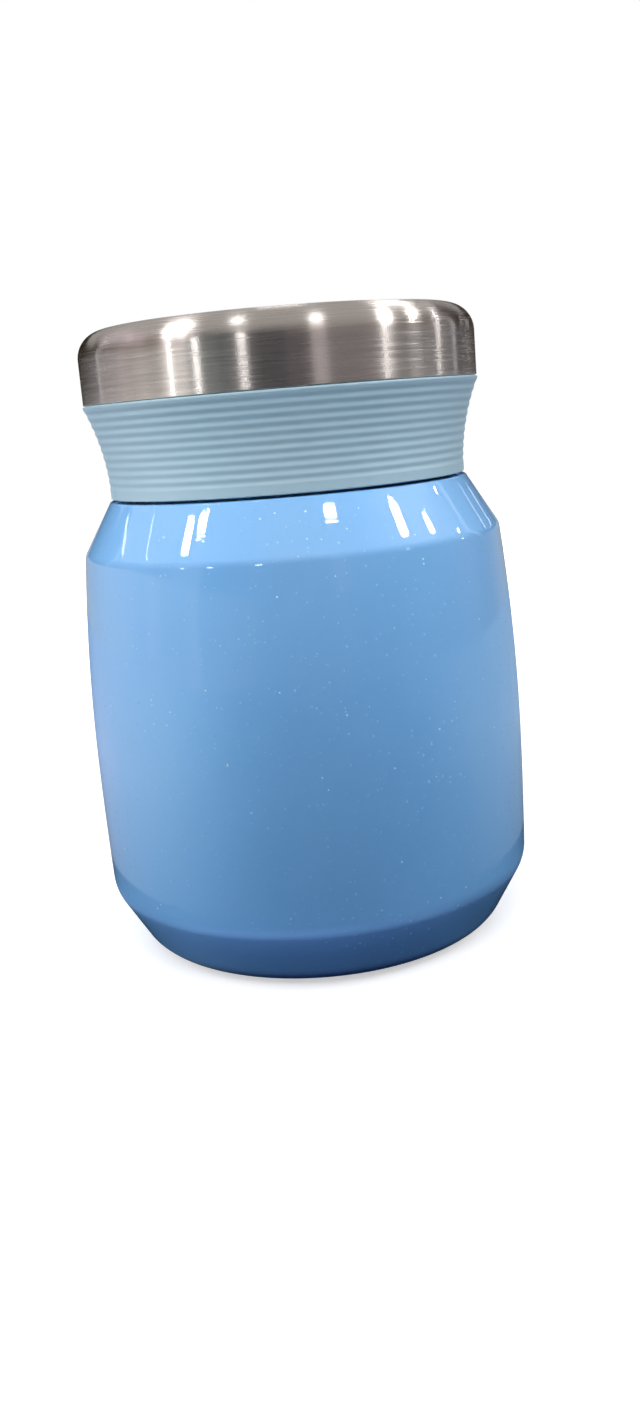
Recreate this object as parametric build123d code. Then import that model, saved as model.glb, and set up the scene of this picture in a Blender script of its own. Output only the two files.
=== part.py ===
from build123d import *
from math import atan2, cos, degrees, hypot, pi, sin
import os

# Insulated food jar: a double-walled vacuum vessel with a painted shell, closed by an
# inner lid with a vent valve and by a screw lid with a ribbed collar and a steel cap.
# Millimetres, +Z up, origin at the centre of the foot.
#
# The mouth drives what fits around it (neck, thread, sleeve, collar, cap), and the rim
# of the neck drives what is stacked on it (gasket, inner lid, valve, lid ceiling).

# ---- painted shell ----
belly_radius = 50.0
belly_rise = 29.0  # from the lower crease up to the belly
wall_height = 77.6  # from the lower crease up to the shoulder crease
shoulder_taper = 2.68  # how far the shoulder crease lies inside the belly
shoulder_round = 4.0
shoulder_rise = 11.5  # from the shoulder crease up to the ledge
ledge_overhang = 0.3  # ledge edge beyond the collar's bottom edge
ledge_round = 0.8
chamfer_height = 15.0
chamfer_taper = 0.45  # how far the lower crease lies inside the belly
chamfer_width = 8.35
chamfer_round = 8.0
foot_round = 8.5
foot_width = 8.0  # from the sharp foot corner in to the base opening
shell_wall = 0.6
tightest_bend = 0.8  # on the inner face of a bend, which is tighter than the outer
neck_height = 16.9
neck_root_round = 0.6

# ---- inner vessel and vacuum space ----
mouth_radius = 33.1
vessel_wall = 0.6
neck_gap = 1.1
vacuum_gap = 3.2
floor_gap = 2.0  # from the getter up to the vessel
rim_round = 0.3
foil_thickness = 0.2
foil_above_crease = 5.0
foil_below_shoulder = 6.6
getter_radius = 5.0
getter_thickness = 2.0
getter_offset = 15.0

# ---- base ----
base_recess = 2.2
base_wall = 0.8
skirt_lift = 0.3
dimple_radius = 5.0
dimple_depth = 1.6
dimple_slope = 1.0  # how much wider the dimple is at its mouth
evacuation_hole_radius = 1.2
seal_radius = 3.2
seal_thickness = 1.0
cover_sheet = 0.6
cover_sheet_gap = 0.2
cover_panel_radius = 20.0
cover_panel_drop = 0.5
cover_panel_slope = 1.5

# ---- quick-turn thread ----
thread_starts = 4
thread_lead = 9.3
thread_depth = 1.45
thread_clearance = 0.35
thread_tip = 1.2  # width of a ridge at its tip
thread_root = 2.6  # width of a ridge at its root
thread_bite = 0.4  # how far a ridge is sunk into its wall
thread_below_rim = 7.0
thread_gap = 0.45  # along the axis, between a closed lug and its ridge
ridge_angle = 45.0  # about Z, to the middle of the first ridge
lug_span = 22.0
lug_end_gap = 3.0  # degrees, on each side of a lug between two ridges
lug_rest_angle = -15.0  # where a closed lug sits, from the middle of its ridge

# ---- inner lid ----
plug_depth = 10.0
plug_clearance = 1.3
plug_wall = 1.4
seat_gap = 0.2  # between the gasket and the rim
gasket_thickness = 1.6
gasket_skirt = 3.6
gasket_clearance = 0.35
flange_inset = 0.4  # flange edge inside the neck's outer wall
flange_thickness = 1.6
cover_plate = 1.6
cover_sink = 0.2
cover_rim_height = 4.0
cover_rim_width = 3.2
cover_lip_height = 1.5
cover_lip_reach = 0.7
foam_gap = 0.1
valve_bore = 3.2
valve_tube_wall = 1.8
valve_recess_radius = 5.6
valve_recess_wall = 1.4

# ---- vent valve ----
valve_travel = 3.0
valve_gap = 0.3  # left at the stop when the valve is fully lifted
valve_seat_gap = 0.2
stem_radius = 1.8
seal_ring_radius = 4.5
seal_ring_height = 2.1
seal_ring_clearance = 0.4
knob_neck_height = 1.8
knob_radius = 9.0
knob_height = 2.6
knob_round = 0.8
clip_radius = 4.4
clip_thickness = 1.0
clip_lift = 0.6
stem_end = 0.3  # stem below the clip

# ---- screw lid ----
lid_gap = 0.6  # shadow gap between the shell's ledge and the collar
sleeve_lift = 0.3
sleeve_wall = 1.6
collar_wall = 1.3
collar_height = 20.4
collar_flare = 4.0
collar_straight = 0.8
collar_lip = 0.45
collar_edge_round = 0.25
collar_funnel_start = 6.5  # below the seam, where the collar leaves the sleeve
groove_count = 10
groove_top = 1.8  # topmost groove below the seam
groove_foot = 2.9  # lowest groove above the collar's bottom edge
groove_radius = 2.4
groove_depth = 0.15
spigot_drop = 2.2  # from the ceiling down to the spigot's top edge
spigot_wall = 1.5
cap_step = 0.15  # cap wall inside the collar's lip
cap_foam_depth = 5.9  # from the ceiling up to the cap's shoulder
cap_dome = 0.6
cap_round = 6.0
cap_wall = 0.6
ceiling_thickness = 1.5
ceiling_gap = 0.6  # left above the knob when the valve is fully lifted
catch_count = 3
catch_span = 30.0
catch_reach = 0.85
catch_lip_gap = 0.4  # between a catch and the lip it lifts
catch_clearance = 0.5
catch_ring_wall = 1.5

# ---- sizes that follow ----
belly_height = chamfer_height + belly_rise
shoulder_height = chamfer_height + wall_height
ledge_height = shoulder_height + shoulder_rise
neck_radius = mouth_radius + vessel_wall + neck_gap + shell_wall
vessel_neck = mouth_radius + vessel_wall
rim_height = ledge_height + neck_height
sleeve_bore = neck_radius + thread_depth + thread_clearance
sleeve_radius = sleeve_bore + sleeve_wall
collar_radius = sleeve_radius + collar_wall
collar_bottom = ledge_height + lid_gap
seam_height = collar_bottom + collar_height
lip_radius = collar_radius + collar_flare
cap_radius = lip_radius - cap_step
groove_pitch = (collar_height - groove_top - groove_foot) / (groove_count - 1)
ridge_span = 360 / thread_starts - lug_span - 2 * lug_end_gap

shoulder_radius = belly_radius - shoulder_taper
ledge_radius = collar_radius + ledge_overhang
shoulder_slope = (ledge_radius - shoulder_radius) / (ledge_height - shoulder_height)
chamfer_radius = belly_radius - chamfer_taper
chamfer_slope = chamfer_width / chamfer_height
foot_corner = chamfer_radius - chamfer_width
base_opening = foot_corner - foot_width
vessel_inset = shell_wall + vacuum_gap
base_top = base_recess + base_wall
vessel_floor = base_top + getter_thickness + floor_gap

plug_radius = mouth_radius - plug_clearance
plug_bottom = rim_height - plug_depth
gasket_bottom = rim_height + seat_gap
flange_bottom = gasket_bottom + gasket_thickness
flange_top = flange_bottom + flange_thickness
flange_radius = neck_radius - flange_inset
cover_floor = flange_top - cover_plate + cover_sink
cover_rim_radius = plug_radius + plug_wall
cover_top = flange_top + cover_rim_height
cover_lip_bottom = cover_top - cover_lip_height
cover_lip_radius = cover_rim_radius + cover_lip_reach

clip_bottom = plug_bottom + clip_lift
clip_top = clip_bottom + clip_thickness
valve_stop = clip_top + valve_travel + valve_gap
seal_ring_bottom = cover_floor + valve_seat_gap
seal_ring_top = seal_ring_bottom + seal_ring_height
knob_bottom = seal_ring_top + knob_neck_height
knob_top = knob_bottom + knob_height

ceiling_bottom = knob_top + valve_travel + ceiling_gap
ceiling_top = ceiling_bottom + ceiling_thickness
cap_shoulder = ceiling_top + cap_foam_depth
catch_bottom = flange_top + catch_clearance
catch_top = cover_lip_bottom - catch_lip_gap
catch_ring_bore = cover_lip_radius + catch_clearance
spigot_radius = cap_radius - cap_wall

os.makedirs("parts", exist_ok=True)


def turned(face):
    """Solid of revolution about Z of a half section drawn as (radius, height)."""
    return revolve(Plane.XZ * face, Axis.Z)


def polygon(*points):
    return make_face(Polyline(*points, close=True))


def box_section(inner, outer, bottom, top):
    return polygon((inner, bottom), (outer, bottom), (outer, top), (inner, top))


def ring(inner, outer, bottom, top):
    return turned(box_section(inner, outer, bottom, top))


def disc(radius, bottom, top):
    return ring(0, radius, bottom, top)


def rounded(face, corners):
    """The face with the corner nearest each point rounded, {(radius, height): round}."""
    for (x, y), size in corners.items():
        corner = min(face.vertices(), key=lambda v: hypot(v.X - x, v.Y - y))
        face = fillet(corner, size)
    return face


def body_section(inset, floor, neck, top):
    """Filled half section of the jar's body, its walls and bends moved in by inset."""
    foot = (foot_corner + chamfer_slope * floor - inset, floor)
    chamfer = (chamfer_radius - inset, chamfer_height)
    belly = (belly_radius - inset, belly_height)
    shoulder = (shoulder_radius - inset, shoulder_height)
    ledge = (ledge_radius - shoulder_slope * inset - inset, ledge_height - inset)
    root = (neck, ledge_height - inset)
    outline = [
        Line((0, floor), foot),
        Line(foot, chamfer),
        TangentArc(belly, chamfer, tangent=(0, -1)),
        TangentArc(belly, shoulder, tangent=(0, 1)),
        Line(shoulder, ledge),
        Line(ledge, root),
        Line(root, (neck, top)),
        Line((neck, top), (0, top)),
        Line((0, top), (0, floor)),
    ]
    bends = {foot: foot_round, chamfer: chamfer_round, shoulder: shoulder_round, ledge: ledge_round}
    rounds = {corner: max(bend - inset, tightest_bend) for corner, bend in bends.items()}
    rounds[root] = neck_root_round
    return rounded(make_face(outline), rounds)


def ridge_profile(wall, depth):
    """Section of a thread ridge that stands depth proud of a wall, centred on height 0.

    Its flanks run on into the wall, so that they meet the wall at a clean angle.
    """
    bite = thread_bite if depth > 0 else -thread_bite
    half_tip = thread_tip / 2
    half_base = half_tip + (thread_root - thread_tip) / 2 * (depth + bite) / depth
    return polygon(
        (wall - bite, -half_base),
        (wall + depth, -half_tip),
        (wall + depth, half_tip),
        (wall - bite, half_base),
    )


def add_thread(wall_part, wall, depth, span, angle, height):
    """Fuses one ridge for each start to a wall, tilted about its middle to the lead."""
    ridge = Rot(0, 0, -span / 2) * revolve(Plane.XZ * ridge_profile(wall, depth), Axis.Z, span)
    ridge = Rot(degrees(atan2(thread_lead, 2 * pi * wall)), 0, 0) * ridge
    for start in range(thread_starts):
        wall_part += Pos(0, 0, height) * Rot(0, 0, angle + start * 360 / thread_starts) * ridge
    return wall_part


# ---- the jar ----
ridge_height = rim_height - thread_below_rim


def make_outer_shell():
    top = rim_height - vessel_wall
    section = body_section(0, 0, neck_radius, top)
    section -= body_section(shell_wall, shell_wall, neck_radius - shell_wall, top)
    section -= box_section(0, base_opening, 0, shell_wall)
    shell = turned(section)
    return add_thread(shell, neck_radius, thread_depth, ridge_span, ridge_angle, ridge_height)


def make_inner_vessel():
    inset = vessel_inset + vessel_wall
    section = body_section(vessel_inset, vessel_floor, vessel_neck, rim_height)
    section += box_section(0, neck_radius, rim_height - vessel_wall, rim_height)
    section -= body_section(inset, vessel_floor + vessel_wall, mouth_radius, rim_height)
    rims = {(mouth_radius, rim_height): rim_round, (neck_radius, rim_height): rim_round}
    return turned(rounded(section, rims))


def make_reflective_foil():
    section = body_section(vessel_inset - foil_thickness, vessel_floor, vessel_neck, rim_height)
    section -= body_section(vessel_inset, vessel_floor, vessel_neck, rim_height)
    bottom, top = chamfer_height + foil_above_crease, shoulder_height - foil_below_shoulder
    return turned(section & box_section(vessel_neck, belly_radius, bottom, top))


def make_getter():
    pill = disc(getter_radius, base_top, base_top + getter_thickness)
    return Pos(getter_offset, 0, 0) * pill


def make_outer_base():
    """Pressed plate with a skirt welded into the shell's foot and a raised dimple."""
    skirt_bore = base_opening - base_wall
    dimple_mouth = dimple_radius + dimple_slope
    section = polygon(
        (evacuation_hole_radius, base_recess + dimple_depth),
        (dimple_radius, base_recess + dimple_depth),
        (dimple_mouth, base_recess),
        (skirt_bore, base_recess),
        (skirt_bore, skirt_lift),
        (base_opening, skirt_lift),
        (base_opening, base_top),
        (dimple_mouth + base_wall, base_top),
        (dimple_radius + base_wall, base_top + dimple_depth),
        (evacuation_hole_radius, base_top + dimple_depth),
    )
    return turned(section)


def make_vacuum_seal():
    top = base_recess + dimple_depth
    return disc(seal_radius, top - seal_thickness, top)


def make_base_cover():
    """Thin plate glued under the outer base, with its middle panel pressed down."""
    radius = base_opening - base_wall - cover_sheet_gap
    slope_end = cover_panel_radius + cover_panel_slope
    bottom, panel = base_recess - cover_sheet, base_recess - cover_panel_drop
    section = polygon(
        (0, panel - cover_sheet),
        (cover_panel_radius, panel - cover_sheet),
        (slope_end, bottom),
        (radius, bottom),
        (radius, base_recess),
        (slope_end, base_recess),
        (cover_panel_radius, panel),
        (0, panel),
    )
    return turned(section)


# ---- the inner lid ----
def make_inner_lid_base():
    """Cup that hangs in the mouth, with a flange over the rim and a tube for the valve."""
    floor, bore = plug_bottom + plug_wall, plug_radius - plug_wall
    recess_wall, tube = valve_recess_radius + valve_recess_wall, valve_bore + valve_tube_wall
    section = box_section(0, plug_radius, plug_bottom, flange_top)
    section += box_section(0, flange_radius, flange_bottom, flange_top)
    section -= box_section(recess_wall, bore, floor, flange_top)
    section -= box_section(tube, recess_wall, valve_stop + valve_recess_wall, flange_top)
    section -= box_section(0, valve_recess_radius, plug_bottom, valve_stop)
    section -= box_section(0, valve_bore, plug_bottom, flange_top)
    section -= box_section(0, bore, cover_floor, flange_top)
    return turned(rounded(section, {(plug_radius, plug_bottom): plug_wall / 2}))


def make_inner_lid_foam():
    inner = valve_recess_radius + valve_recess_wall + foam_gap
    outer = plug_radius - plug_wall - foam_gap
    return ring(inner, outer, plug_bottom + plug_wall, cover_floor)


def make_inner_lid_cover():
    """Plate in the top of the cup, with a raised rim and the lip that the catches lift."""
    bore, well = plug_radius - plug_wall, cover_rim_radius - cover_rim_width
    plate_top = cover_floor + cover_plate
    section = box_section(seal_ring_radius + seal_ring_clearance, bore, cover_floor, plate_top)
    section += box_section(well, bore, cover_floor, cover_top)
    section += box_section(well, cover_rim_radius, flange_top, cover_top)
    section += box_section(well, cover_lip_radius, cover_lip_bottom, cover_top)
    corners = {(cover_lip_radius, cover_top): rim_round, (well, cover_top): rim_round}
    return turned(rounded(section, corners))


def make_inner_lid_gasket():
    outer = mouth_radius - gasket_clearance
    section = box_section(plug_radius, flange_radius, gasket_bottom, flange_bottom)
    section += box_section(plug_radius, outer, gasket_bottom - gasket_skirt, flange_bottom)
    return turned(section)


# ---- the vent valve ----
def make_valve_stem():
    return disc(stem_radius, clip_bottom - stem_end, seal_ring_top)


def make_valve_seal():
    return ring(stem_radius, seal_ring_radius, seal_ring_bottom, seal_ring_top)


def make_valve_knob():
    section = box_section(0, seal_ring_radius, seal_ring_top, knob_bottom)
    section += box_section(0, knob_radius, knob_bottom, knob_top)
    corners = {(knob_radius, knob_top): knob_round, (knob_radius, knob_bottom): knob_round}
    return turned(rounded(section, corners))


def make_valve_clip():
    return ring(stem_radius, clip_radius, clip_bottom, clip_top)


# ---- the screw lid ----
def make_thread_sleeve():
    tube = ring(sleeve_bore, sleeve_radius, collar_bottom + sleeve_lift, ceiling_bottom)
    angle = ridge_angle + lug_rest_angle
    spacing = (thread_tip + thread_root) / 2 + thread_gap
    height = ridge_height + thread_lead * lug_rest_angle / 360 - spacing
    return add_thread(tube, sleeve_bore, -thread_depth, lug_span, angle, height)


def flare_arc():
    """The collar's concave side, from its straight foot up to its lip."""
    foot = (collar_radius, collar_bottom + collar_straight)
    return TangentArc(foot, (lip_radius, seam_height - collar_lip), tangent=(0, 1))


def groove_cutters(flare):
    """Round grooves whose centres stand off the flare by the rest of their radius."""
    foot, tip = flare @ 0, flare @ 1
    rise, run = tip.Y - foot.Y, tip.X - foot.X
    arc_radius = (rise**2 + run**2) / (2 * run)
    cutters = Sketch()
    for groove in range(groove_count):
        height = seam_height - groove_top - groove * groove_pitch
        lean = (height - foot.Y) / arc_radius
        stand_off = arc_radius - (groove_radius - groove_depth)
        centre = foot.X + arc_radius - stand_off * cos(lean), foot.Y + stand_off * sin(lean)
        cutters += Pos(*centre) * Circle(groove_radius)
    return cutters


def make_grip_collar():
    """Ribbed ring glued on the sleeve, with a spigot that holds the steel cap."""
    flare = flare_arc()
    funnel = seam_height - collar_funnel_start
    spigot_bore, spigot_top = spigot_radius - spigot_wall, ceiling_bottom - spigot_drop
    side = Polyline(
        (lip_radius, seam_height - collar_lip),
        (lip_radius, seam_height),
        (spigot_radius, seam_height),
        (spigot_radius, spigot_top),
        (spigot_bore, spigot_top),
        (spigot_bore, seam_height),
        (sleeve_radius, funnel),
        (sleeve_radius, collar_bottom),
        (collar_radius, collar_bottom),
        (collar_radius, collar_bottom + collar_straight),
    )
    section = make_face([flare, side]) - groove_cutters(flare)
    corners = {
        (collar_radius, collar_bottom): collar_edge_round,
        (lip_radius, seam_height): collar_edge_round,
    }
    return turned(rounded(section, corners))


def cap_section(inset):
    """Filled half section of the cap, its faces moved in by inset."""
    radius, top = cap_radius - inset, cap_shoulder - inset
    dome = ThreePointArc((-radius, top), (0, top + cap_dome), (radius, top))
    outline = [
        Line((0, seam_height), (radius, seam_height)),
        Line((radius, seam_height), (radius, top)),
        dome.trim(0.5, 1),
        Line((0, top + cap_dome), (0, seam_height)),
    ]
    return rounded(make_face(outline), {(radius, top): cap_round})


def make_cap_shell():
    return turned(cap_section(0) - cap_section(cap_wall))


def make_lid_ceiling():
    slice_ = box_section(0, spigot_radius, ceiling_bottom, ceiling_top)
    return turned(cap_section(cap_wall) & slice_)


def make_lid_foam():
    above = box_section(0, cap_radius, ceiling_top, cap_shoulder + cap_dome)
    return turned(cap_section(cap_wall) & above)


def make_catch_ring():
    """Ring under the ceiling whose catches hold the inner lid by its lip."""
    bore = catch_ring_bore
    hoop = ring(bore, bore + catch_ring_wall, catch_bottom, ceiling_bottom)
    catch = box_section(bore - catch_reach, bore, catch_bottom, catch_top)
    for index in range(catch_count):
        hoop += Rot(0, 0, index * 360 / catch_count) * revolve(
            Plane.XZ * catch, Axis.Z, catch_span
        )
    return hoop


pieces = {
    "outer_shell": make_outer_shell(),
    "inner_vessel": make_inner_vessel(),
    "reflective_foil": make_reflective_foil(),
    "getter": make_getter(),
    "outer_base": make_outer_base(),
    "vacuum_seal": make_vacuum_seal(),
    "base_cover": make_base_cover(),
    "inner_lid_base": make_inner_lid_base(),
    "inner_lid_foam": make_inner_lid_foam(),
    "inner_lid_cover": make_inner_lid_cover(),
    "inner_lid_gasket": make_inner_lid_gasket(),
    "valve_stem": make_valve_stem(),
    "valve_seal": make_valve_seal(),
    "valve_knob": make_valve_knob(),
    "valve_clip": make_valve_clip(),
    "thread_sleeve": make_thread_sleeve(),
    "grip_collar": make_grip_collar(),
    "cap_shell": make_cap_shell(),
    "lid_ceiling": make_lid_ceiling(),
    "lid_foam": make_lid_foam(),
    "catch_ring": make_catch_ring(),
}

for name, piece in pieces.items():
    export_step(piece, f"parts/{name}.step")
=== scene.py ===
from math import atan2, ceil, copysign, cos, pi, radians, sin, sqrt, tan

import bmesh
import bpy
from mathutils import Matrix, Quaternion, Vector


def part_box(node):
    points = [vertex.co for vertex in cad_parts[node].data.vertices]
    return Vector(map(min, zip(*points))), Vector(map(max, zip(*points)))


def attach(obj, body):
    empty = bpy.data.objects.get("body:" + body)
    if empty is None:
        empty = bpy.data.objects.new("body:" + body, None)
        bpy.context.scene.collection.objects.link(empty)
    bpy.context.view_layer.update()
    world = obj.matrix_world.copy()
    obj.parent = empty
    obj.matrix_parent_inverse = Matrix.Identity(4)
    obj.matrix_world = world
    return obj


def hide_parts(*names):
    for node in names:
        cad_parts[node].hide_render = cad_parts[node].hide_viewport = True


# The looks of an insulated food jar: painted shell, ribbed collar, brushed steel cap, and
# the finishes of the other solids. Outlines are in millimetres, everything that Blender
# holds is in metres. Azimuths are in degrees from -Y, the jar's front, toward +X.

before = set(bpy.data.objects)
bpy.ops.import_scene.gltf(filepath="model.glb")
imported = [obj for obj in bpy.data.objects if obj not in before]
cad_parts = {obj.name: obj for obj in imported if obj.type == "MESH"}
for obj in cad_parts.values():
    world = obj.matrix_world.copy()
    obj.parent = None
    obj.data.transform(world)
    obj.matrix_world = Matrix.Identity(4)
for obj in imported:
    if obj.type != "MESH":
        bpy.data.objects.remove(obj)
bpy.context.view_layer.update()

MM = 0.001
TURN_STEPS = 288  # segments round a turned piece
BEND_STEP = radians(4)
LONGEST_RUN = 1.5  # mm, longer straight runs are split so that shading stays even
ON_AXIS = 1e-7  # metres, a point nearer to the axis than this lies on it
SHARP_ANGLE = radians(32)

_, shell_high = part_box("outer_shell")
_, base_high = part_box("outer_base")
collar_low, collar_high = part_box("grip_collar")
cap_low, cap_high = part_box("cap_shell")


# ---- sizes in millimetres, the same as the solids ----
belly_radius = shell_high.x / MM
belly_height = 44.0
shoulder_radius = belly_radius - 2.68
shoulder_height = 92.6
shoulder_round = 4.0
ledge_height = 104.1
ledge_radius = 40.4
ledge_round = 0.8
chamfer_radius = belly_radius - 0.45
chamfer_height = 15.0
chamfer_round = 8.0
foot_corner = chamfer_radius - 8.35
foot_round = 8.5
base_opening = base_high.x / MM
shell_wall = 0.6
tightest_bend = 0.6  # on the inner face of a bend, which is tighter than the outer
neck_radius = 35.4
neck_root_round = 0.6
shell_top = shell_high.z / MM

cap_radius = cap_high.x / MM
cap_bottom = cap_low.z / MM
cap_top = cap_high.z / MM
cap_dome = 0.6
cap_wall = 0.6
cap_bend = 6.0
cap_edge_round = 0.12
seam_gap = 0.2

collar_bottom = collar_low.z / MM
seam_height = cap_bottom
spigot_top = collar_high.z / MM
spigot_wall = 1.5
spigot_round = 0.3
sleeve_radius = 38.8
funnel_depth = 6.5  # below the seam, where the collar leaves the sleeve
collar_radius = 40.1
collar_edge_round = 0.25
lip_radius = collar_high.x / MM
lip_round = 0.2
collar_straight = 0.8
collar_lip = 0.45
groove_count = 10
groove_top = 1.8
groove_foot = 2.9
groove_depth = 0.15

thread_starts = 4
thread_lead = 9.3
thread_depth = 1.45
thread_tip = 1.2
thread_root = 2.6
thread_bite = 0.4
ridge_span = 62.0
ridge_angle = 45.0
ridge_height = 114.0


# ---- mesh helpers ----
def rounded(corners):
    """Points of a closed outline. A corner is (radius, height) or (radius, height, bend)."""
    points = []
    for index, corner in enumerate(corners):
        here = Vector(corner[:2])
        if len(corner) == 2:
            points.append(here)
            continue
        bend = corner[2]
        back = (Vector(corners[index - 1][:2]) - here).normalized()
        ahead = (Vector(corners[(index + 1) % len(corners)][:2]) - here).normalized()
        half = back.angle(ahead) / 2
        centre = here + (back + ahead).normalized() * bend / sin(half)
        start = here + back * bend / tan(half) - centre
        end = here + ahead * bend / tan(half) - centre
        sweep = copysign(pi - 2 * half, start.x * end.y - start.y * end.x)
        first = atan2(start.y, start.x)
        steps = max(2, ceil(abs(sweep) / BEND_STEP))
        for step in range(steps + 1):
            angle = first + sweep * step / steps
            points.append(centre + bend * Vector((cos(angle), sin(angle))))
    return points


def split(points):
    """The outline with every long run cut into short ones."""
    result = []
    for index, here in enumerate(points):
        run = points[(index + 1) % len(points)] - here
        steps = max(1, ceil(run.length / LONGEST_RUN))
        result += [here + run * step / steps for step in range(steps)]
    return result


def new_object(name, bm, material):
    """An object of the mesh, smooth but for its sharp edges, in the scene."""
    bmesh.ops.recalc_face_normals(bm, faces=bm.faces)
    mesh = bpy.data.meshes.new(name)
    bm.to_mesh(mesh)
    bm.free()
    mesh.shade_smooth()
    mesh.set_sharp_from_angle(angle=SHARP_ANGLE)
    mesh.materials.append(material)
    obj = bpy.data.objects.new(name, mesh)
    bpy.context.scene.collection.objects.link(obj)
    return obj


def lathe(name, corners, material):
    """Closed solid of revolution of an outline drawn as (radius, height) in millimetres."""
    outline = split(rounded(corners))
    bm = bmesh.new()
    rings = []
    for point in outline:
        radius, height = point.x * MM, point.y * MM
        if radius < ON_AXIS:
            rings.append([bm.verts.new((0, 0, height))] * TURN_STEPS)
            continue
        turns = [2 * pi * step / TURN_STEPS for step in range(TURN_STEPS)]
        rings.append([bm.verts.new((radius * cos(t), radius * sin(t), height)) for t in turns])
    for ring, following in zip(rings, rings[1:] + rings[:1]):
        for step in range(TURN_STEPS):
            after = (step + 1) % TURN_STEPS
            loop = [ring[step], ring[after], following[after], following[step]]
            distinct = list(dict.fromkeys(loop))
            if len(distinct) > 2:
                bm.faces.new(distinct)
    return new_object(name, bm, material)


# ---- material helpers ----
def grey(level):
    return (level, level, level, 1)


class Nodes:
    """A node tree, with short ways to add nodes and to feed their sockets."""

    def __init__(self, tree):
        self.tree = tree

    def feed(self, node, sockets):
        for key, value in sockets.items():
            if isinstance(value, bpy.types.NodeSocket):
                self.tree.links.new(value, node.inputs[key])
            else:
                node.inputs[key].default_value = value

    def add(self, kind, sockets=None, **settings):
        node = self.tree.nodes.new("ShaderNode" + kind)
        for key, value in settings.items():
            setattr(node, key, value)
        self.feed(node, sockets or {})
        return node

    def place(self):
        return self.add("TexCoord").outputs["Object"]

    def distance(self):
        """Distance from the jar's origin."""
        return self.add("VectorMath", {0: self.place()}, operation="LENGTH").outputs["Value"]

    def math(self, operation, *values):
        return self.add("Math", dict(enumerate(values)), operation=operation).outputs[0]

    def vector(self, operation, *values):
        return self.add("VectorMath", dict(enumerate(values)), operation=operation).outputs[0]

    def spread(self, value, low, high, new_low=0.0, new_high=1.0):
        """The value moved from one range to another, clamped at its ends."""
        sockets = {"Value": value, "From Min": low, "From Max": high}
        sockets |= {"To Min": new_low, "To Max": new_high}
        return self.add("MapRange", sockets).outputs["Result"]

    def ramp(self, value, stops):
        """Colour that runs through the stops, each of them a position and a colour."""
        node = self.add("ValToRGB", {"Fac": value})
        elements = node.color_ramp.elements
        for index, (position, colour) in enumerate(stops):
            element = elements[index] if index < 2 else elements.new(position)
            element.position = position
            element.color = (*colour, 1)
        return node.outputs["Color"]


class Surface(Nodes):
    """A material with a Principled shader and the nodes that feed it."""

    def __init__(self, name, sockets):
        self.material = bpy.data.materials.new(name)
        self.material.use_nodes = True
        super().__init__(self.material.node_tree)
        self.shader = self.tree.nodes["Principled BSDF"]
        self.feed(self.shader, sockets)

    def noise(self, where, scale, detail=2.0, roughness=0.5):
        sockets = {"Vector": where, "Scale": scale, "Detail": detail, "Roughness": roughness}
        return self.add("TexNoise", sockets).outputs["Fac"]

    def mix(self, factor, first, second):
        node = self.add("Mix", data_type="RGBA")
        self.feed(node, {0: factor, 6: first, 7: second})
        return node.outputs[2]

    def bump(self, height, distance, strength=1.0, below=None):
        sockets = {"Height": height, "Distance": distance, "Strength": strength}
        if below is not None:
            sockets["Normal"] = below
        return self.add("Bump", sockets).outputs["Normal"]

    def turning_marks(self, per_metre, along):
        """Noise drawn out round the Z axis, as the marks of brushing on a lathe."""
        x, y, z = self.add("SeparateXYZ", {0: self.place()}).outputs
        squares = self.math("ADD", self.math("POWER", x, 2.0), self.math("POWER", y, 2.0))
        radius = self.math("SQRT", squares)
        span = self.math("MAXIMUM", radius, 1e-5)  # keeps clear of a division by zero
        across = self.math("MULTIPLY", self.math("SUBTRACT", z, radius), per_metre)
        around = [self.math("MULTIPLY", self.math("DIVIDE", side, span), along) for side in (x, y)]
        where = self.add("CombineXYZ", {0: around[0], 1: around[1], 2: across}).outputs[0]
        return self.noise(where, 1.0, detail=1.0)

    def done(self, sockets):
        self.feed(self.shader, sockets)
        return self.material


# ---- materials ----
FINE_RELIEF = 0.00001  # metres, depth of the bump of brushing, lacquer and blasting


def shell_paint():
    """Glossy blue lacquer over glitter flakes, the rarest of them painted pale as glints, with the
    faint rings of the turned steel.
    """
    s = Surface("shell_paint", {"Coat Weight": 1.0, "Coat Roughness": 0.02})
    place = s.place()
    cells = s.add("TexVoronoi", {"Vector": place, "Scale": 1000.0, "Randomness": 1.0}).outputs
    lot, other, _ = s.add("SeparateColor", {0: cells["Color"]}).outputs
    size = s.spread(lot, 0.3, 1.0, 0.05, 0.24)
    flake = s.math("LESS_THAN", cells["Distance"], size)
    cloud = s.spread(s.noise(place, 40.0, 3.0), 0.3, 0.7)
    blue = s.mix(cloud, (0.195, 0.50, 0.92, 1), (0.21, 0.52, 0.94, 1))
    # the rarest flakes are painted pale, a painted glint that shows without any lamp; the other
    # flakes keep a lighter blue of their own
    flake_tint_and_painted_glint = s.mix(s.spread(other, 0.9, 0.98), (0.26, 0.56, 0.98, 1), (0.7, 0.85, 1.0, 1))
    colour = s.mix(flake, blue, flake_tint_and_painted_glint)
    rough = s.spread(flake, 0.0, 1.0, 0.5, 0.2)
    tilt = s.vector("SUBTRACT", cells["Color"], (0.5, 0.5, 0.5))
    lean_sockets = {0: tilt, "Scale": s.math("MULTIPLY", flake, 0.5)}
    lean = s.add("VectorMath", lean_sockets, operation="SCALE").outputs[0]
    leant = s.vector("ADD", s.add("NewGeometry").outputs["Normal"], lean)
    facing = s.vector("NORMALIZE", leant)
    rings = s.bump(s.turning_marks(2200.0, 9.0), FINE_RELIEF, 0.25)
    peel = s.bump(s.noise(place, 900.0, 1.0), FINE_RELIEF, 0.15, below=rings)
    sockets = {"Base Color": colour, "Roughness": rough, "Normal": facing, "Coat Normal": peel}
    return s.done(sockets)


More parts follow.
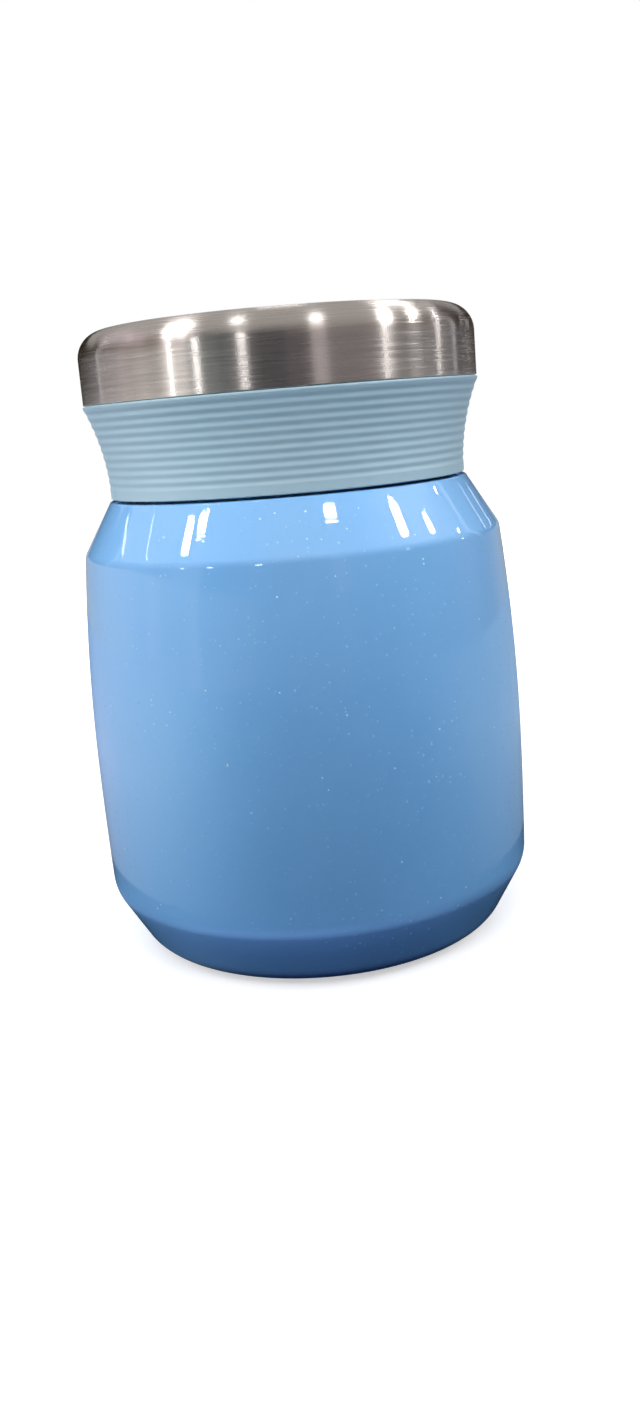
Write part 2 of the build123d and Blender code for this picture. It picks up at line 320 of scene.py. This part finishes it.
def brushed_steel(name, colour, roughness, anisotropic):
    """Steel brushed in fine rings about the Z axis."""
    sockets = {"Metallic": 1.0, "Anisotropic": anisotropic, "Anisotropic Rotation": 0.25}
    s = Surface(name, sockets)
    fine = s.turning_marks(2600.0, 4.0)
    broad = s.turning_marks(1500.0, 2.0)
    shade = s.spread(s.math("ADD", fine, broad), 0.7, 1.3)
    dark = tuple(0.86 * part for part in colour)
    tint = s.mix(shade, (*dark, 1), (*colour, 1))
    rough = s.spread(fine, 0.3, 0.7, roughness * 0.86, roughness * 1.14)
    tangent = s.add("Tangent", direction_type="RADIAL", axis="Z").outputs[0]
    normal = s.bump(broad, FINE_RELIEF, 0.06)
    return s.done({"Base Color": tint, "Roughness": rough, "Tangent": tangent, "Normal": normal})


def satin_steel(name, colour, roughness):
    """Bead-blasted or polished steel with soft clouds in its gloss."""
    s = Surface(name, {"Metallic": 1.0})
    place = s.place()
    cloud = s.noise(place, 60.0, 4.0)
    rough = s.spread(cloud, 0.3, 0.7, roughness * 0.8, roughness * 1.2)
    normal = s.bump(s.noise(place, 3000.0, 2.0), FINE_RELIEF, 0.2)
    return s.done({"Base Color": (*colour, 1), "Roughness": rough, "Normal": normal})


def moulded(name, colour, roughness, grain=2600.0, depth=0.00003, shine=0.4):
    """Moulded plastic with a fine spark-eroded grain and a slight change of tone."""
    s = Surface(name, {"Specular IOR Level": shine})
    place = s.place()
    tone = s.spread(s.noise(place, 35.0, 3.0), 0.3, 0.7)
    pale = tuple(min(1.0, part * 1.05) for part in colour)
    tint = s.mix(tone, (*colour, 1), (*pale, 1))
    rough = s.spread(s.noise(place, 500.0, 2.0), 0.3, 0.7, roughness * 0.9, roughness * 1.1)
    normal = s.bump(s.noise(place, grain, 2.0), depth, 0.3)
    return s.done({"Base Color": tint, "Roughness": rough, "Normal": normal})


paint = shell_paint()
cap_steel = brushed_steel("cap_steel", (0.62, 0.57, 0.54), 0.25, 1.0)
neck_steel = brushed_steel("neck_steel", (0.66, 0.65, 0.63), 0.28, 0.5)
collar_plastic = moulded("collar_plastic", (0.41, 0.60, 0.70), 0.42, shine=0.9)


# ---- painted shell, with its bare neck ----
def side_radius(height):
    """Radius of the barrelled wall, which is widest at the belly."""
    if height < belly_height:
        taper, span = belly_radius - chamfer_radius, belly_height - chamfer_height
    else:
        taper, span = belly_radius - shoulder_radius, shoulder_height - belly_height
    return belly_radius - taper * ((height - belly_height) / span) ** 2


def shell_outline():
    """The shell's outside from the base opening up to the neck's top, and its inside back."""
    side_steps = 24
    rise = (shoulder_height - chamfer_height) / side_steps
    heights = [chamfer_height + rise * step for step in range(1, side_steps)]
    outside = [
        (base_opening, 0),
        (foot_corner, 0, foot_round),
        (chamfer_radius, chamfer_height, chamfer_round),
        *[(side_radius(height), height) for height in heights],
        (shoulder_radius, shoulder_height, shoulder_round),
        (ledge_radius, ledge_height, ledge_round),
        (neck_radius, ledge_height, neck_root_round),
        (neck_radius, shell_top),
    ]
    wall = shell_wall
    ledge_inset = wall * (1 + (ledge_radius - shoulder_radius) / (ledge_height - shoulder_height))
    inside = [
        (neck_radius - wall, shell_top),
        (neck_radius - wall, ledge_height - wall, tightest_bend),
        (ledge_radius - ledge_inset, ledge_height - wall, tightest_bend),
        (shoulder_radius - wall, shoulder_height, shoulder_round - wall),
        *[(side_radius(height) - wall, height) for height in reversed(heights)],
        (chamfer_radius - wall, chamfer_height, chamfer_round - wall),
        (foot_corner - wall / 2, wall, foot_round - wall),
        (base_opening, wall),
    ]
    return outside + inside


paint_edge = ledge_height + 0.3  # the paint ends just above the ledge, under the collar
shell = lathe("painted_shell", shell_outline(), paint)
shell.data.materials.append(neck_steel)
for face in shell.data.polygons:
    if face.center.z > paint_edge * MM:
        face.material_index = 1
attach(shell, "jar")
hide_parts("outer_shell")


# ---- thread ridges on the neck ----
def thread_ridge(name, angle):
    """One ridge on the neck, wound along the lead, with run-out ends."""
    steps = 48
    run_out = 0.12  # share of the ridge that each end takes to rise
    end_share = 0.15  # share of its depth that the ridge has at its very ends
    blend_share, blend_out, blend_in = 0.85, 0.08, 0.15  # of the tip's rounded edges
    half_root, half_tip = thread_root / 2, thread_tip / 2
    bm = bmesh.new()
    rows = []
    for step in range(steps + 1):
        share = step / steps
        end = min(share, 1 - share) / run_out
        proud = thread_depth * min(1.0, end_share + (1 - end_share) * end)
        turn = radians(angle + ridge_span * (share - 0.5))
        height = ridge_height + thread_lead * ridge_span / 360 * (share - 0.5)
        section = [
            (neck_radius - thread_bite, -half_root),
            (neck_radius, -half_root),
            (neck_radius + proud * blend_share, -half_tip - blend_out),
            (neck_radius + proud, -half_tip + blend_in),
            (neck_radius + proud, half_tip - blend_in),
            (neck_radius + proud * blend_share, half_tip + blend_out),
            (neck_radius, half_root),
            (neck_radius - thread_bite, half_root),
        ]
        row = []
        for radius, lift in section:
            place = Vector((radius * cos(turn), radius * sin(turn), height + lift)) * MM
            row.append(bm.verts.new(place))
        rows.append(row)
    for row, following in zip(rows, rows[1:]):
        for index in range(len(row)):
            after = (index + 1) % len(row)
            bm.faces.new([row[index], row[after], following[after], following[index]])
    bm.faces.new(rows[0])
    bm.faces.new(rows[-1])
    return new_object(name, bm, neck_steel)


for start in range(thread_starts):
    ridge = thread_ridge(f"neck_ridge_{start + 1}", ridge_angle + start * 360 / thread_starts)
    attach(ridge, "jar")


# ---- ribbed collar ----
def collar_side(height):
    """Radius of the flared side, with its soft grooves."""
    foot_height = collar_bottom + collar_straight
    rise, run = seam_height - collar_lip - foot_height, lip_radius - collar_radius
    arc = (rise**2 + run**2) / (2 * run)
    climb = min(max(height - foot_height, 0), rise)
    radius = collar_radius + arc - sqrt(arc**2 - climb**2)
    top, lowest = seam_height - groove_top, collar_bottom + groove_foot
    pitch = (top - lowest) / (groove_count - 1)
    phase = (top - height) / pitch
    if -0.5 < phase < groove_count - 0.5:
        radius -= groove_depth * (1 + cos(2 * pi * phase)) / 2
    return radius


def collar_outline():
    """The collar's side from its foot up to its lip, the spigot in the cap, and the funnel."""
    step = 0.125
    lowest, highest = collar_bottom + 2 * collar_edge_round, seam_height - collar_lip
    count = round((highest - lowest) / step)
    heights = [lowest + (highest - lowest) * index / count for index in range(count + 1)]
    spigot_radius = cap_radius - cap_wall
    spigot_bore = spigot_radius - spigot_wall
    return [
        (sleeve_radius, collar_bottom),
        (collar_radius, collar_bottom, collar_edge_round),
        *[(collar_side(height), height) for height in heights],
        (lip_radius, seam_height, lip_round),
        (spigot_radius, seam_height),
        (spigot_radius, spigot_top, spigot_round),
        (spigot_bore, spigot_top, spigot_round),
        (spigot_bore, seam_height),
        (sleeve_radius, seam_height - funnel_depth),
    ]


collar = lathe("ribbed_collar", collar_outline(), collar_plastic)
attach(collar, "lid")
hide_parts("grip_collar")


# ---- steel cap ----
def cap_outline():
    """The cap's outside from its seam up to the top of its dome, and its inside back."""
    dome_foot, wall = cap_top - cap_dome, cap_wall
    dome_steps = 30
    bend_lift = 0.03  # the dome's rise where the bend at the edge begins
    bend_margin = 1.5  # from the dome's last point to that bend
    inner_share = 0.99  # the inner dome's points lie this much nearer to the axis
    arc = (cap_radius**2 + cap_dome**2) / (2 * cap_dome)

    def dome(radius):
        return dome_foot + cap_dome - arc + sqrt(arc**2 - radius**2)

    reach = cap_radius - cap_bend - bend_margin
    radii = [reach * step / dome_steps for step in range(1, dome_steps + 1)]
    outer = [(radius, dome(radius)) for radius in reversed(radii)]
    inner = [(radius * inner_share, dome(radius) - wall) for radius in radii]
    return [
        (cap_radius, cap_bottom + seam_gap, cap_edge_round),
        (cap_radius, dome_foot + bend_lift, cap_bend),
        *outer,
        (0, cap_top),
        (0, cap_top - wall),
        *inner,
        (cap_radius - wall, dome_foot - wall, cap_bend - wall),
        (cap_radius - wall, cap_bottom + seam_gap, cap_edge_round),
    ]


cap = lathe("steel_cap", cap_outline(), cap_steel)
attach(cap, "lid")
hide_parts("cap_shell")


# ---- finishes of the other solids ----
inner_steel = satin_steel("inner_steel", (0.66, 0.65, 0.63), 0.3)
base_steel = brushed_steel("base_steel", (0.6, 0.59, 0.57), 0.34, 0.4)
lid_plastic = moulded("lid_plastic", (0.36, 0.49, 0.55), 0.45)
inner_lid_plastic = moulded("inner_lid_plastic", (0.62, 0.69, 0.72), 0.4)
valve_plastic = moulded("valve_plastic", (0.30, 0.42, 0.50), 0.4)
silicone = moulded("silicone", (0.78, 0.78, 0.76), 0.5, grain=1400.0)
foam = moulded("foam", (0.85, 0.84, 0.80), 0.9, grain=900.0, depth=0.0002)
copper_foil = satin_steel("copper_foil", (0.85, 0.48, 0.30), 0.25)
getter_metal = satin_steel("getter_metal", (0.35, 0.34, 0.33), 0.5)
seal_glass = moulded("seal_glass", (0.25, 0.27, 0.24), 0.15)

node_finishes = {
    "inner_vessel": inner_steel,
    "reflective_foil": copper_foil,
    "getter": getter_metal,
    "outer_base": base_steel,
    "vacuum_seal": seal_glass,
    "base_cover": base_steel,
    "inner_lid_base": inner_lid_plastic,
    "inner_lid_foam": foam,
    "inner_lid_cover": inner_lid_plastic,
    "inner_lid_gasket": silicone,
    "valve_stem": valve_plastic,
    "valve_seal": silicone,
    "valve_knob": valve_plastic,
    "valve_clip": valve_plastic,
    "thread_sleeve": lid_plastic,
    "lid_ceiling": lid_plastic,
    "lid_foam": foam,
    "catch_ring": lid_plastic,
}
for node, material in node_finishes.items():
    for material_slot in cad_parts[node].material_slots:
        material_slot.material = material


# ---- stage helpers, in metres ----
TONE_RANGE = 2.0  # the brightest tone that a flag can have


def fresh_nodes(holder):
    """The emptied node tree of a new material or world."""
    holder.use_nodes = True
    holder.node_tree.nodes.clear()
    return Nodes(holder.node_tree)


def seen_directly(nodes):
    """One for the camera and for what mirrors and glass show, zero for bounced light."""
    path = nodes.add("LightPath").outputs
    direct = nodes.math("MAXIMUM", path["Is Camera Ray"], path["Is Glossy Ray"])
    return nodes.math("MAXIMUM", direct, path["Is Transmission Ray"])


def floor_material(name, near_level, bounced):
    """White where it is seen, and clear from below. Its glow is weaker near the jar, so that
    the jar's shadow shows there. The colour of its bounced light is set apart."""
    material = bpy.data.materials.new(name)
    nodes = fresh_nodes(material)
    near, far = 0.1, 0.7
    level = nodes.spread(nodes.distance(), near, far, near_level, 1.0)
    glow = nodes.add("Emission", {"Strength": level}).outputs[0]
    lit = nodes.add("BsdfDiffuse", {"Color": grey(0.8)}).outputs[0]
    shown = nodes.add("AddShader", {0: lit, 1: glow}).outputs[0]
    dim = nodes.add("BsdfDiffuse", {"Color": (*bounced, 1)}).outputs[0]
    above = nodes.add("MixShader", {0: seen_directly(nodes), 1: dim, 2: shown}).outputs[0]
    behind = nodes.add("NewGeometry").outputs["Backfacing"]
    clear = nodes.add("BsdfTransparent").outputs[0]
    surface = nodes.add("MixShader", {0: behind, 1: above, 2: clear}).outputs[0]
    nodes.add("OutputMaterial", {"Surface": surface})
    return material


def add_floor():
    half, drop = 6.0, 0.0001  # the drop keeps the floor clear of the foot
    bm = bmesh.new()
    corners = [(-half, -half), (half, -half), (half, half), (-half, half)]
    bm.faces.new([bm.verts.new((x, y, -drop)) for x, y in corners])
    floor = new_object("floor", bm, floor_material("floor_white", 0.5, (0.012, 0.037, 0.10)))


def set_world(ambient):
    """White behind the object and in its reflections, a plain soft fill otherwise."""
    world = bpy.data.worlds.new("studio")
    bpy.context.scene.world = world
    nodes = fresh_nodes(world)
    strength = nodes.spread(seen_directly(nodes), 0.0, 1.0, ambient, 1.0)
    background = nodes.add("Background", {"Color": grey(1.0), "Strength": strength}).outputs[0]
    nodes.add("OutputWorld", {"Surface": background})


def add_lamp(name, azimuth, elevation, distance, size, level, tilt=0, gloss_only=False):
    """A rectangular lamp that faces the jar, which only reflections see, or only diffuse light."""
    around, up = radians(azimuth), radians(elevation)
    shoulder_front, lid_middle = Vector((0, -0.037, 0.099)), Vector((0, 0, 0.11))
    aim = shoulder_front if gloss_only else lid_middle
    toward = Vector((sin(around) * cos(up), -cos(around) * cos(up), sin(up)))
    light = bpy.data.lights.new(name, "AREA")
    light.shape = "RECTANGLE"
    light.size, light.size_y = size
    light.energy = 4 * size[0] * size[1] * level  # the face then shows at the level
    lamp = bpy.data.objects.new(name, light)
    lamp.location = aim + toward * distance
    turn = toward.to_track_quat("Z", "Y") @ Quaternion((0, 0, 1), radians(tilt))
    lamp.rotation_euler = turn.to_euler()
    lamp.visible_camera = False
    lamp.visible_glossy = gloss_only
    lamp.visible_diffuse = not gloss_only
    bpy.context.scene.collection.objects.link(lamp)


def tone_round(nodes, tones):
    """Colour that runs through the tones, each of which holds at its azimuth."""
    x, y, _ = nodes.add("SeparateXYZ", {0: nodes.place()}).outputs
    angle = nodes.math("ARCTAN2", x, nodes.math("MULTIPLY", y, -1.0))
    stops = [
        ((azimuth + 180) / 360, [part / TONE_RANGE for part in tone]) for azimuth, tone in tones
    ]
    return nodes.ramp(nodes.spread(angle, -pi, pi), stops)


def add_flag(name, first, last, profile, colour=None, tones=None, fade=None):
    """A bent panel that only reflections see, from one azimuth to another. It has one colour,
    or tones by azimuth, and it may fade by steps of distance from the jar's axis."""
    material = bpy.data.materials.new(name)
    material.cycles.emission_sampling = "NONE"
    nodes = fresh_nodes(material)
    level = TONE_RANGE if tones else 1.0
    sockets = {"Color": tone_round(nodes, tones) if tones else (*colour, 1), "Strength": level}
    if fade:
        share = nodes.ramp(nodes.distance(), [(metres, (part,) * 3) for metres, part in fade])
        sockets["Strength"] = nodes.math("MULTIPLY", share, level)
    glow = nodes.add("Emission", sockets).outputs[0]
    nodes.add("OutputMaterial", {"Surface": glow})
    widest_step = 4  # degrees
    steps = max(2, ceil((last - first) / widest_step))
    bm = bmesh.new()
    rows = []
    for step in range(steps + 1):
        turn = radians(first + (last - first) * step / steps)
        rows.append([bm.verts.new((r * sin(turn), -r * cos(turn), z)) for r, z in profile])
    for row, following in zip(rows, rows[1:]):
        for index in range(len(profile) - 1):
            bm.faces.new([row[index], row[index + 1], following[index + 1], following[index]])
    flag = new_object(name, bm, material)
    flag.visible_camera = False
    flag.visible_diffuse = False
    flag.visible_transmission = False
    flag.visible_volume_scatter = False
    flag.visible_shadow = False


# ---- floor, backdrop and the room that the reflections show ----
add_floor()
set_world(0.06)

# panels are drawn as (radius, height)
room_radius, room_height, rear_height = 2.0, 1.4, 0.7
ceiling_radius, ceiling_rim, ceiling_top = 1.5, 1.9, 2.0
panel_radius, panel_low, panel_high = 1.4, 0.72, 1.36
skirting_radius, skirting_height = 0.65, 0.115
mat_radius, mat_middle, mat_height = 0.0355, 0.6, 0.0004  # the mat starts under the foot
ring_start, ring_end, ring_height = 0.042, 0.085, 0.0008  # the ring lies on the mat
wall_profile = [(room_radius, 0.0), (room_radius, room_height)]
rear_profile = [(room_radius, 0.0), (room_radius, rear_height)]
rear_top_profile = [(room_radius, rear_height), (room_radius, room_height)]
ceiling_profile = [(room_radius, room_height), (ceiling_radius, ceiling_rim), (0.001, ceiling_top)]
panel_profile = [(panel_radius, panel_low), (panel_radius, panel_high)]
mat_profile = [(mat_radius, mat_height), (mat_middle, mat_height), (room_radius, mat_height)]
ring_profile = [(ring_start, ring_height), (ring_end, ring_height)]
foot_profile = [(skirting_radius, 0.0), (skirting_radius, skirting_height)]

# from one azimuth to the next, and the tone that the steel shows there; in the narrow gaps
# between them the world shows as a bright streak
walls = [
    (-134, -122, (0.03, 0.02, 0.01)),
    (-120, -100, (0.18, 0.145, 0.13)),
    (-100, -67, (0.29, 0.22, 0.20)),
    (-67, -50, (0.75, 0.68, 0.66)),
    (-50, -24, (0.03, 0.04, 0.05)),
    (-24, -10, (0.12, 0.11, 0.11)),
    (-10, 5, (0.07, 0.06, 0.065)),
    (5, 19, (0.15, 0.125, 0.125)),
    (19, 28, (0.72, 0.65, 0.65)),
    (28, 60, (0.36, 0.32, 0.31)),
    (60, 112, (0.24, 0.21, 0.20)),
    (112, 118, (0.18, 0.17, 0.19)),
    (121, 145, (0.05, 0.035, 0.03)),
]
for index, (first, last, colour) in enumerate(walls):
    add_flag(f"wall_flag_{index + 1}", first, last, wall_profile, colour)
add_flag("rear_flag_left", -180, -134, rear_profile, (0.03, 0.02, 0.01))
add_flag("rear_flag_right", 145, 180, rear_profile, (0.05, 0.035, 0.03))
add_flag("rear_top_left", -180, -134, rear_top_profile, (0.48, 0.46, 0.44))
add_flag("rear_top_right", 145, 180, rear_top_profile, (0.45, 0.43, 0.42))
add_flag("ceiling_scrim", -180, 180, ceiling_profile, (0.6, 0.59, 0.57))
add_flag("side_panel", -134, -84, panel_profile, (0.85, 0.77, 0.81))

# the table, which fades toward the jar: azimuths and the tones that the paint shows of it
mat_tones = [
    (-180, (0.20, 0.30, 0.50)),
    (-150, (0.30, 0.40, 0.62)),
    (-120, (0.80, 0.82, 0.98)),
    (-90, (1.22, 1.26, 1.28)),
    (-75, (1.28, 1.42, 1.34)),
    (-60, (0.95, 1.12, 1.10)),
    (-32, (0.25, 0.35, 0.34)),
    (-18, (0.08, 0.10, 0.14)),
    (45, (0.07, 0.08, 0.13)),
    (65, (0.32, 0.35, 0.39)),
    (85, (0.70, 0.78, 0.82)),
    (115, (0.57, 0.68, 0.78)),
    (150, (0.32, 0.44, 0.60)),
    (180, (0.20, 0.30, 0.50)),
]
mat_fade = [(0.02, 0), (0.22, 1)]
add_flag("mat_flag", -180, 180, mat_profile, tones=mat_tones, fade=mat_fade)

# the table close to the jar, whose light on the crease above the foot ends before the foot
ring_colour = (0.9, 1.5, 2.7)
ring_shares = [
    (-180, 0.05), (-110, 0.18), (-75, 0.2), (-60, 0.35), (-45, 0.75), (-22, 1.0), (0, 1.05),
    (20, 0.72), (38, 0.5), (54, 0.12), (110, 0.1), (180, 0.05),
]
ring_tones = [(azimuth, [share * part for part in ring_colour]) for azimuth, share in ring_shares]
ring_fade = [
    (0.048, 0.08), (0.0505, 0.2), (0.0525, 0.42), (0.057, 1), (0.064, 0.85), (0.072, 0.25),
    (0.084, 0),
]
add_flag("ring_flag", -180, 180, ring_profile, tones=ring_tones, fade=ring_fade)

# the foot of the room's wall, whose bands end part of the way down the jar's side
foot_tones = [
    (-180, 0.30), (-134, 0.55), (-115, 0.95), (-95, 1.20), (-87, 0.95), (-79, 1.40), (-71, 0.95),
    (-66, 1.20), (-61, 0.95), (-54, 1.45), (-50, 0.75), (-33, 0.65), (-29, 0.40), (-25, 0.62),
    (-18, 0.15), (12, 0.12), (22, 0.35), (30, 0.20), (85, 0.28), (103, 0.45), (112, 0.22),
    (136, 0.50), (180, 0.25),
]
foot_grey = [(azimuth, (tone, tone, tone)) for azimuth, tone in foot_tones]
add_flag("foot_flag", -180, 180, foot_profile, tones=foot_grey)


# ---- lamps ----
# azimuth, elevation, width, height and tilt in degrees as the jar sees them, and level;
# these are the bright points of the highlights and of the streaks in the steel
lamps = [
    ("lamp_left_outer", -77.4, 43.7, 3.4, 1.6, 27, 150),
    ("lamp_left_inner", -69.4, 47.05, 3.9, 0.7, 24, 220),
    ("lamp_left_edge", -67.3, 48.8, 1.8, 0.15, 0, 300),
    ("lamp_front", 32.9, 55.35, 5.2, 0.2, -14, 500),
    ("lamp_right_inner", 79.8, 42.9, 3.7, 1.4, -27, 440),
    ("lamp_right_outer", 97.1, 35.2, 2.6, 0.8, -28, 300),
    ("lamp_right_high", 114.7, 29.0, 1.0, 0.3, 0, 300),
    ("lamp_right_low", 113.4, 26.2, 1.0, 0.4, 0, 300),
    ("low_left_outer", -62.2, 8.5, 2.0, 2.5, 0, 32),
    ("low_left_inner", -45.8, 10.5, 3.0, 3.0, 0, 28),
    ("low_left_centre", -19.1, 13.0, 4.5, 4.0, 0, 16),
    ("low_right_inner", 63.5, 12.0, 2.4, 5.0, 0, 9),
    ("low_right_far", 104.0, 9.0, 2.0, 3.0, 0, 12),
    ("tube_left_outer", -122.3, 23.3, 9.5, 0.3, 17, 7),
    ("tube_left_inner", -102.7, 32.9, 6.1, 0.3, -3, 8),
    ("tube_right_inner", 135.8, 13.5, 6.7, 0.3, 43, 6),
    ("tube_right_outer", 143.4, 8.6, 10.4, 0.3, 13, 5),
    ("corner_left", -95.0, 60.0, 18.0, 7.0, 0, 7),
    ("corner_left_centre", -47.0, 72.0, 5.0, 5.0, 0, 16),
    ("corner_right", 110.0, 41.0, 6.0, 4.0, 0, 9),
    ("corner_back_right", 152.0, 44.0, 9.0, 7.0, 0, 7),
    ("corner_back", 179.0, 39.0, 5.0, 7.0, 0, 4),
]
lamp_distance = 1.5
for name, azimuth, elevation, wide, high, tilt, level in lamps:
    size = [2 * lamp_distance * tan(radians(side / 2)) for side in (wide, high)]
    add_lamp(name, azimuth, elevation, lamp_distance, size, level, tilt, gloss_only=True)

# azimuth and elevation in degrees, distance, side and level of the soft boxes, which light
# the jar more at its top than at its foot
soft_boxes = [
    ("box_left_low", -90, 15, 0.8, 0.5, 3.0),
    ("box_left", -90, 30, 0.8, 0.5, 1.5),
    ("box_front_low", 0, 15, 0.22, 0.12, 1.25),
    ("box_front", 0, 30, 0.22, 0.12, 2.7),
    ("box_front_high", 0, 60, 0.8, 0.5, 1.6),
    ("box_right", 90, 26, 0.8, 0.5, 3.7),
    ("box_back_left", -150, 35, 0.8, 0.5, 2.0),
    ("box_back_right", 150, 35, 0.8, 0.5, 1.7),
]
for name, azimuth, elevation, distance, side, level in soft_boxes:
    add_lamp(name, azimuth, elevation, distance, (side, side), level)


# ---- camera, at the photograph's viewing angle ----
def set_camera():
    place = Vector((0, -0.30147, 0.12108))
    yaw, pitch, roll = 0.01005, -0.2291, -0.08228
    forward = Vector((sin(yaw) * cos(pitch), cos(yaw) * cos(pitch), sin(pitch)))
    level_right = Vector((cos(yaw), -sin(yaw), 0))
    level_up = level_right.cross(forward)
    right = cos(roll) * level_right + sin(roll) * level_up
    up = cos(roll) * level_up - sin(roll) * level_right
    data = bpy.data.cameras.new("camera")
    focal_pixels, image_height = 1300, 1422
    data.sensor_width = 36.0  # on the image's long side, which is its height
    data.lens = data.sensor_width * focal_pixels / image_height
    data.clip_start = 0.01
    camera = bpy.data.objects.new("camera", data)
    axes = Matrix((right, up, -forward)).transposed().to_4x4()
    camera.matrix_world = Matrix.Translation(place) @ axes
    bpy.context.scene.collection.objects.link(camera)
    bpy.context.scene.camera = camera


set_camera()
bpy.context.scene.view_settings.view_transform = "Standard"
